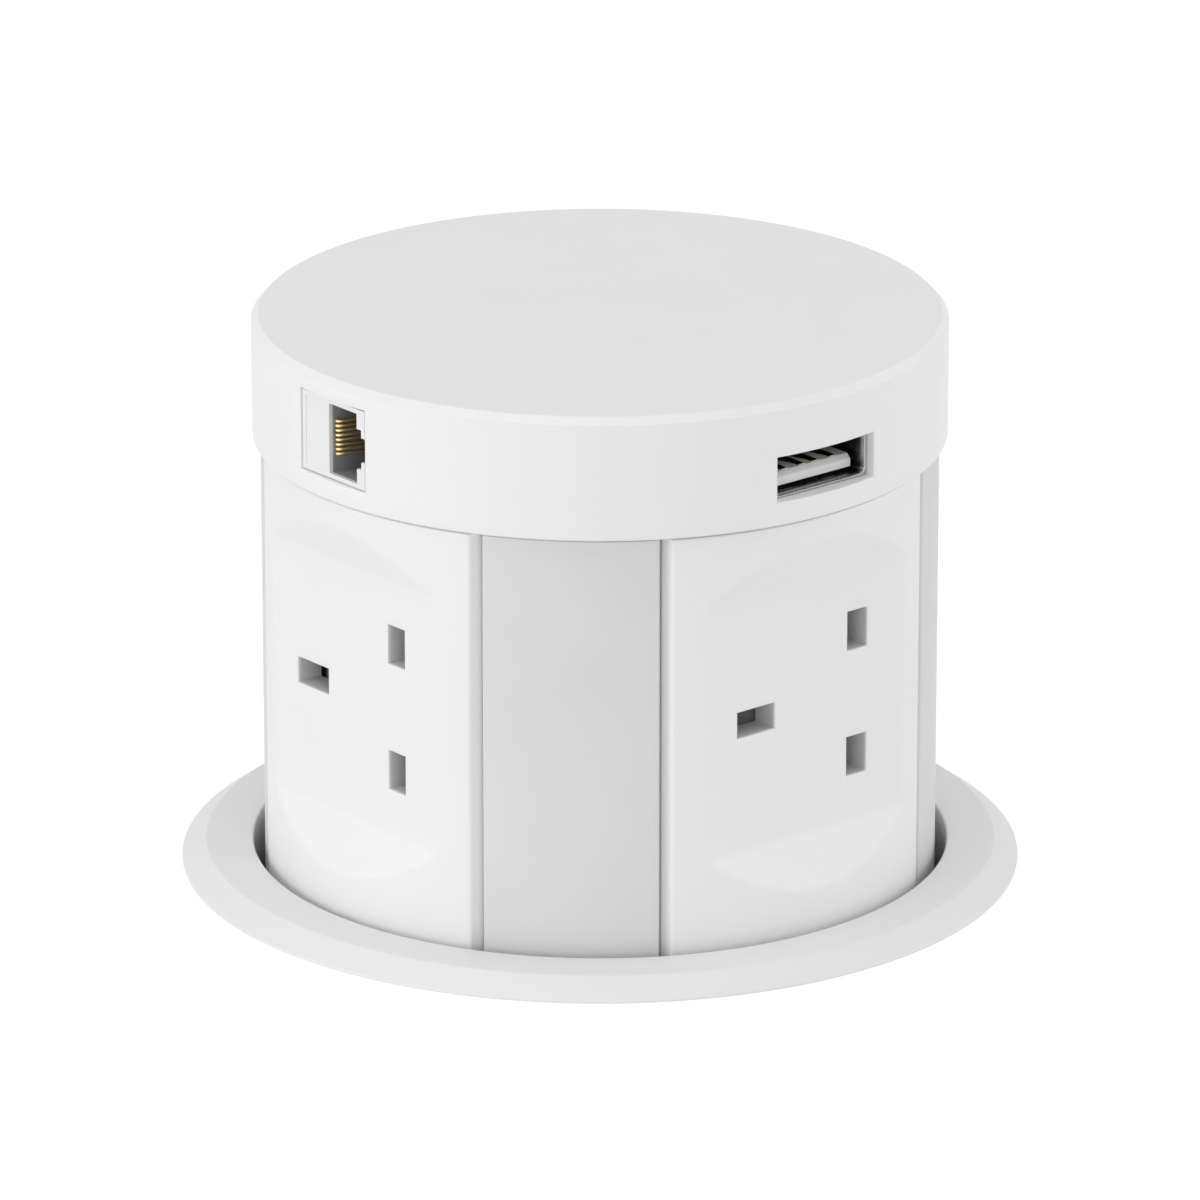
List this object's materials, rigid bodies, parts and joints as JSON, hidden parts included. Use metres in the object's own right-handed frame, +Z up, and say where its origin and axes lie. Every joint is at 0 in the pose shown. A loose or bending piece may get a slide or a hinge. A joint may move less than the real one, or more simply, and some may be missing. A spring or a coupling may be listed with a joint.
{
  "type": "pop up desk socket",
  "caption": "Motorised pop-up desk socket: a round white column with faceted mains outlets and data ports in its cap, rising out of a flanged barrel.",
  "frame": {"origin": "on the column's axis at the desk's upper surface, under the trim ring", "axes": "+Z up along the column; -Y towards the front socket panel, +X towards the right one"},
  "size_m": [0.1506, 0.1506, 0.3143],
  "materials": {
    "white_moulding": "satin moulded white",
    "ring_white": "satin moulded white",
    "strip_satin": "satin pale grey",
    "jack_white": "moulded",
    "gold": "gold flash",
    "shell_steel": "tinned sheet",
    "tongue_white": "moulded",
    "inner_grey": "moulded",
    "brass": "pressed",
    "spring_steel": "wire",
    "frame_grey": "moulded",
    "barrel_grey": "moulded",
    "gasket_rubber": "foam",
    "clamp_steel": "zinc plated",
    "rod_steel": "ground",
    "gear_plastic": "moulded acetal",
    "motor_steel": "plated can",
    "gland_black": "moulded",
    "lead_rubber": "sheathed lead",
    "terminal_cream": "moulded",
    "board_green": "lacquered board"
  },
  "bodies": {
    "root": {"trim_ring": "ring_white", "barrel": "barrel_grey", "worktop_gasket": "gasket_rubber", "base_plate": "clamp_steel", "guide_rods": "rod_steel", "screw_bearings": "rod_steel", "motor_bracket": "clamp_steel", "gear_motor": "motor_steel", "bottom_cover": "barrel_grey", "mains_gland": "gland_black", "data_gland": "gland_black", "terminal_block": "terminal_cream", "control_board": "board_green", "housing_screws": "rod_steel", "internal_lead": "lead_rubber"},
    "column": {"cap": "white_moulding", "cap_base": "white_moulding", "usb_board": "board_green", "network_jack_front": "jack_white", "network_jack_back": "jack_white", "network_wires": "gold", "usb_shell_right": "shell_steel", "usb_shell_left": "shell_steel", "usb_tongue_right": "tongue_white", "usb_tongue_left": "tongue_white", "usb_contacts": "gold", "socket_panel_front": "white_moulding", "socket_housing_front": "inner_grey", "socket_contacts_front": "brass", "shutter_spring_front": "spring_steel", "socket_panel_right": "white_moulding", "socket_housing_right": "inner_grey", "socket_contacts_right": "brass", "shutter_spring_right": "spring_steel", "socket_panel_back": "white_moulding", "socket_housing_back": "inner_grey", "socket_contacts_back": "brass", "shutter_spring_back": "spring_steel", "socket_panel_left": "white_moulding", "socket_housing_left": "inner_grey", "socket_contacts_left": "brass", "shutter_spring_left": "spring_steel", "corner_strip_front_right": "strip_satin", "corner_strip_back_right": "strip_satin", "corner_strip_back_left": "strip_satin", "corner_strip_front_left": "strip_satin", "column_frame": "frame_grey", "carriage": "frame_grey", "guide_bushes": "brass", "drive_nut": "brass", "column_screws": "rod_steel"},
    "lead_screw": {"lead_screw": "rod_steel", "screw_gear": "gear_plastic"},
    "pinion": {"pinion": "gear_plastic"},
    "clamp_washer": {"clamp_washer": "clamp_steel"},
    "lock_nut": {"lock_nut": "barrel_grey"},
    "shutter_front": {"shutter_front": "inner_grey"},
    "shutter_right": {"shutter_right": "inner_grey"},
    "shutter_back": {"shutter_back": "inner_grey"},
    "shutter_left": {"shutter_left": "inner_grey"}
  },
  "joints": [
    {"name": "lift", "type": "slide", "parent": "root", "child": "column", "axis": [0, 0, 1], "range_m": [-0.0937, 0], "deforming": ["internal_lead"]},
    {"name": "screw_spin", "type": "hinge", "parent": "root", "child": "lead_screw", "pos_m": [0, 0, 0], "axis": [0, 0, 1], "range_deg": [-5, 4220]},
    {"name": "pinion_spin", "type": "hinge", "parent": "root", "child": "pinion", "pos_m": [0.0225, 0, 0], "axis": [0, 0, 1], "range_deg": [-8435, 5]},
    {"name": "lock_travel", "type": "slide", "parent": "root", "child": "clamp_washer", "axis": [0, 0, 1], "range_m": [-0.04, 0.012]},
    {"name": "lock_turn", "type": "hinge", "parent": "clamp_washer", "child": "lock_nut", "pos_m": [0, 0, 0], "axis": [0, 0, 1], "range_deg": [-2880, 865]},
    {"name": "shutter_slide_front", "type": "slide", "parent": "column", "child": "shutter_front", "axis": [1, 0, 0], "range_m": [0, 0.0054], "stiffness_N_per_m": 120, "springref_m": -0.006, "deforming": ["shutter_spring_front"]},
    {"name": "shutter_slide_right", "type": "slide", "parent": "column", "child": "shutter_right", "axis": [0, 1, 0], "range_m": [0, 0.0054], "stiffness_N_per_m": 120, "springref_m": -0.006, "deforming": ["shutter_spring_right"]},
    {"name": "shutter_slide_back", "type": "slide", "parent": "column", "child": "shutter_back", "axis": [-1, 0, 0], "range_m": [0, 0.0054], "stiffness_N_per_m": 120, "springref_m": -0.006, "deforming": ["shutter_spring_back"]},
    {"name": "shutter_slide_left", "type": "slide", "parent": "column", "child": "shutter_left", "axis": [0, -1, 0], "range_m": [0, 0.0054], "stiffness_N_per_m": 120, "springref_m": -0.006, "deforming": ["shutter_spring_left"]}
  ],
  "couplings": [
    {"joint": "screw_spin", "follows": "lift", "rad_per_m": -785.4},
    {"joint": "pinion_spin", "follows": "lift", "rad_per_m": 1570.8},
    {"joint": "lock_turn", "follows": "lock_travel", "rad_per_m": 1256.6}
  ]
}
